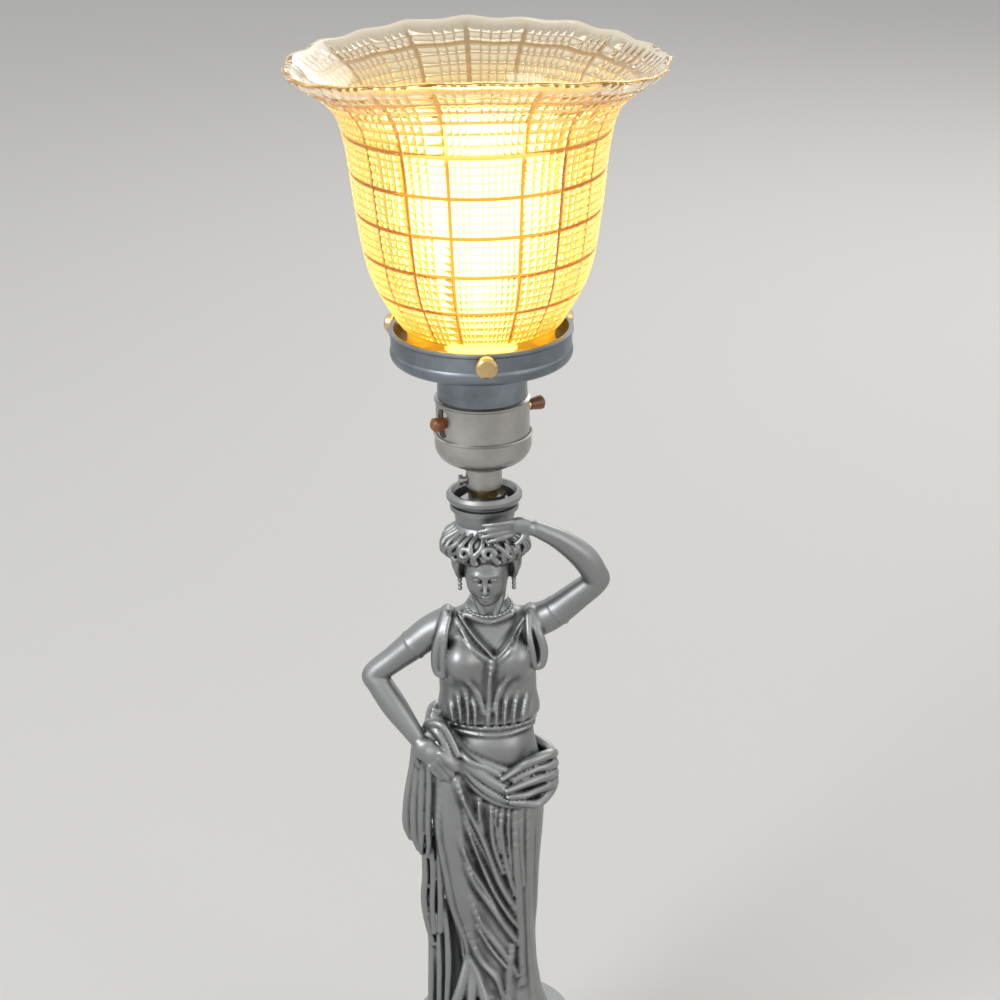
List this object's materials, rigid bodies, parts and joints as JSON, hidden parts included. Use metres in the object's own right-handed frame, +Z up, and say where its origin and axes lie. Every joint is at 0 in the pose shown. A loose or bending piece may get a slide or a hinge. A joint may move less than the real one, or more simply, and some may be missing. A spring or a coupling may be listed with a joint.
{
  "type": "figural table lamp",
  "caption": "Cast metal table lamp: a draped woman carries an urn, from which rises a push-through socket with a flared pressed-glass shade held by thumbscrews.",
  "frame": {"origin": "centre of the felt's underside, on the table", "axes": "+Z up along the lamp's axis; the figure faces -Y; +X is at the right of someone who looks at her face"},
  "size_m": [0.134, 0.134, 0.4269],
  "materials": {
    "cast_metal": "satin pewter-grey casting with darker recesses",
    "felt": "dark green felt",
    "black_plastic": "moulded",
    "steel": "zinc plated",
    "socket_metal": "spun and lightly brushed",
    "holder_metal": "spun and lightly brushed",
    "brass": "satin",
    "fibre": "pressed fibre",
    "porcelain": "unglazed",
    "knob_plastic": "polished brown",
    "clear_glass": "clear, pressed with ribs",
    "bulb_metal": "rolled thread",
    "bulb_insulation": "black vitreous",
    "bulb_glass": "frosted, lit"
  },
  "bodies": {
    "lamp": {"plinth": "cast_metal", "figure_body": "cast_metal", "arm_on_hip": "cast_metal", "raised_arm": "cast_metal", "urn": "cast_metal", "felt_pad": "felt", "cord_bushing": "black_plastic", "base_nipple": "steel", "urn_nipple": "steel", "lower_washer": "steel", "lower_nut": "steel", "upper_washer": "steel", "upper_nut": "steel", "set_screw": "steel", "socket_cap": "socket_metal", "socket_shell": "socket_metal", "holder": "holder_metal", "insulating_liner": "fibre", "socket_interior": "porcelain", "screw_shell": "brass", "centre_contact": "brass", "glass_shade": "clear_glass"},
    "switch": {"switch_rod": "steel", "switch_knob_out": "knob_plastic", "switch_knob_in": "knob_plastic"},
    "thumbscrew_1": {"thumbscrew_1": "brass"},
    "thumbscrew_2": {"thumbscrew_2": "brass"},
    "thumbscrew_3": {"thumbscrew_3": "brass"},
    "bulb": {"bulb_base": "bulb_metal", "bulb_insulator": "bulb_insulation", "bulb_contact": "bulb_metal", "bulb_globe": "bulb_glass"}
  },
  "joints": [
    {"name": "switch_push", "type": "slide", "parent": "lamp", "child": "switch", "axis": [0.8572, 0.515, 0], "range_m": [-0.0046, 0]},
    {"name": "thumbscrew_1_out", "type": "slide", "parent": "lamp", "child": "thumbscrew_1", "axis": [0.0523, -0.9986, 0], "range_m": [0, 0.003]},
    {"name": "thumbscrew_2_out", "type": "slide", "parent": "lamp", "child": "thumbscrew_2", "axis": [0.8387, 0.5446, 0], "range_m": [0, 0.003]},
    {"name": "thumbscrew_3_out", "type": "slide", "parent": "lamp", "child": "thumbscrew_3", "axis": [-0.891, 0.454, 0], "range_m": [0, 0.003]},
    {"name": "bulb_turn", "type": "hinge", "parent": "lamp", "child": "bulb", "pos_m": [0, 0, 0.32], "axis": [0, 0, 1], "range_deg": [0, 720]}
  ]
}
